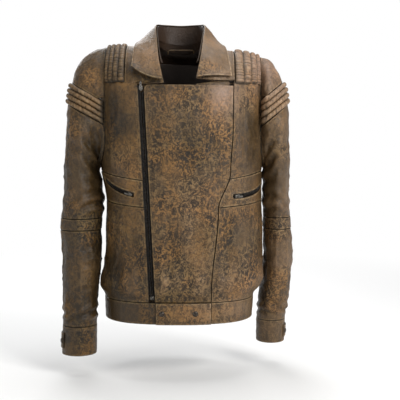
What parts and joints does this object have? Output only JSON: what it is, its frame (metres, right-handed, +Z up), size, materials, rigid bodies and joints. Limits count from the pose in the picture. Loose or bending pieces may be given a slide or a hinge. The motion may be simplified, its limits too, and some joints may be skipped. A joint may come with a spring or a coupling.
{
  "type": "leather riding jacket",
  "caption": "Hip-length riding jacket of distressed leather with an offset front zip and flap, fold-down collar, ribbed padded shoulders, zipped pockets and snapped waistband.",
  "frame": {"origin": "middle of the underside of the hanger loop inside the back of the neck", "axes": "+Z up, the front of the jacket faces -Y, the wearer's left is +X"},
  "size_m": [0.556, 0.3068, 0.7821],
  "materials": {
    "shell_leather": "distressed brown leather with rubbed-through tan lines",
    "trim_leather": "distressed brown leather, lighter along its edges",
    "lining": "dark satin lining",
    "padding": "pale fibre padding",
    "dark_zip_metal": "blackened zip metal",
    "dark_snap_metal": "dark antique snap metal"
  },
  "bodies": {
    "torso": {"right_front_panel": "shell_leather", "left_side_front": "shell_leather", "right_pocket_band": "shell_leather", "right_lower_front": "shell_leather", "left_pocket_band": "shell_leather", "left_lower_front": "shell_leather", "back_panel": "shell_leather", "back_yoke": "shell_leather", "right_shoulder_ribs": "shell_leather", "left_shoulder_ribs": "shell_leather", "right_shoulder_cap": "shell_leather", "left_shoulder_cap": "shell_leather", "right_sleeve_ribs": "shell_leather", "left_sleeve_ribs": "shell_leather", "waistband_back": "trim_leather", "waistband_right": "trim_leather", "waistband_left": "trim_leather", "collar_leaf": "trim_leather", "collar_stand": "trim_leather", "hanger_loop": "trim_leather", "right_front_lining": "lining", "left_front_lining": "lining", "back_lining": "lining", "right_pocket_bag": "lining", "left_pocket_bag": "lining", "right_pocket_zip": "dark_zip_metal", "left_pocket_zip": "dark_zip_metal", "main_zip_chain_right": "dark_zip_metal", "main_zip_box": "dark_zip_metal", "hem_snap_stud_outer": "dark_snap_metal", "hem_snap_stud_inner": "dark_snap_metal", "right_shoulder_pad": "padding", "left_shoulder_pad": "padding"},
    "front_flap": {"front_flap_panel": "shell_leather", "front_flap_facing": "lining", "waistband_flap": "trim_leather", "hem_snap_cap_outer": "dark_snap_metal", "hem_snap_cap_inner": "dark_snap_metal", "main_zip_chain_flap": "dark_zip_metal"},
    "main_slider": {"main_zip_slider": "dark_zip_metal"},
    "main_pull": {"main_zip_pull": "dark_zip_metal"},
    "right_pocket_slider": {"right_pocket_slider": "dark_zip_metal"},
    "right_pocket_pull": {"right_pocket_pull": "dark_zip_metal"},
    "left_pocket_slider": {"left_pocket_slider": "dark_zip_metal"},
    "left_pocket_pull": {"left_pocket_pull": "dark_zip_metal"},
    "right_upper_arm": {"right_upper_sleeve": "shell_leather", "right_sleeve_lining": "lining"},
    "right_forearm": {"right_elbow_band": "shell_leather", "right_forearm_sleeve": "shell_leather", "right_cuff": "trim_leather"},
    "right_cuff_tab": {"right_cuff_tab": "trim_leather", "right_cuff_snap_cap": "dark_snap_metal"},
    "left_upper_arm": {"left_upper_sleeve": "shell_leather", "left_sleeve_lining": "lining"},
    "left_forearm": {"left_elbow_band": "shell_leather", "left_forearm_sleeve": "shell_leather", "left_cuff": "trim_leather"},
    "left_cuff_tab": {"left_cuff_tab": "trim_leather", "left_cuff_snap_cap": "dark_snap_metal"}
  },
  "joints": [
    {"name": "main_zip_slide", "type": "slide", "parent": "torso", "child": "main_slider", "axis": [0.0498, -0.0028, -0.9988], "range_m": [0, 0.462]},
    {"name": "main_pull_swing", "type": "hinge", "parent": "main_slider", "child": "main_pull", "pos_m": [-0.0865, -0.19291, -0.09851], "axis": [0.9988, 0, 0.0498], "range_deg": [0, 165]},
    {"name": "front_flap_open", "type": "hinge", "parent": "torso", "child": "front_flap", "pos_m": [0.128, -0.188, -0.072], "axis": [0.103, 0, 0.9947], "range_deg": [0, 100]},
    {"name": "right_pocket_zip_run", "type": "hinge", "parent": "torso", "child": "right_pocket_slider", "pos_m": [-0.03784, -0.06784, -0.2722], "axis": [0.0497, 0.4858, -0.8727], "range_deg": [0, 32.68]},
    {"name": "right_pocket_pull_swing", "type": "hinge", "parent": "right_pocket_slider", "child": "right_pocket_pull", "pos_m": [-0.11404, -0.17884, -0.33833], "axis": [-0.0497, -0.4858, 0.8727], "range_deg": [0, 150]},
    {"name": "left_pocket_zip_run", "type": "hinge", "parent": "torso", "child": "left_pocket_slider", "pos_m": [0.06952, -0.07984, -0.29681], "axis": [0.1665, -0.3389, 0.926], "range_deg": [0, 47.58]},
    {"name": "left_pocket_pull_swing", "type": "hinge", "parent": "left_pocket_slider", "child": "left_pocket_pull", "pos_m": [0.13197, -0.17647, -0.34341], "axis": [-0.1665, 0.3389, -0.926], "range_deg": [0, 150]},
    {"name": "right_sleeve_swing", "type": "hinge", "parent": "torso", "child": "right_upper_arm", "pos_m": [-0.269, -0.05, -0.128], "axis": [0, 1, 0], "range_deg": [0, 35]},
    {"name": "right_elbow_bend", "type": "hinge", "parent": "right_upper_arm", "child": "right_forearm", "pos_m": [-0.2355, -0.132, -0.399], "axis": [-1, 0, 0], "range_deg": [0, 85]},
    {"name": "right_cuff_tab_open", "type": "hinge", "parent": "right_forearm", "child": "right_cuff_tab", "pos_m": [-0.28261, -0.07744, -0.685], "axis": [0, 0, -1], "range_deg": [0, 100]},
    {"name": "left_sleeve_swing", "type": "hinge", "parent": "torso", "child": "left_upper_arm", "pos_m": [0.258, -0.05, -0.128], "axis": [0, -1, 0], "range_deg": [0, 35]},
    {"name": "left_elbow_bend", "type": "hinge", "parent": "left_upper_arm", "child": "left_forearm", "pos_m": [0.2315, -0.091, -0.399], "axis": [-1, 0, 0], "range_deg": [0, 85]},
    {"name": "left_cuff_tab_open", "type": "hinge", "parent": "left_forearm", "child": "left_cuff_tab", "pos_m": [0.25679, 0.01106, -0.679], "axis": [0, 0, 1], "range_deg": [0, 100]}
  ]
}
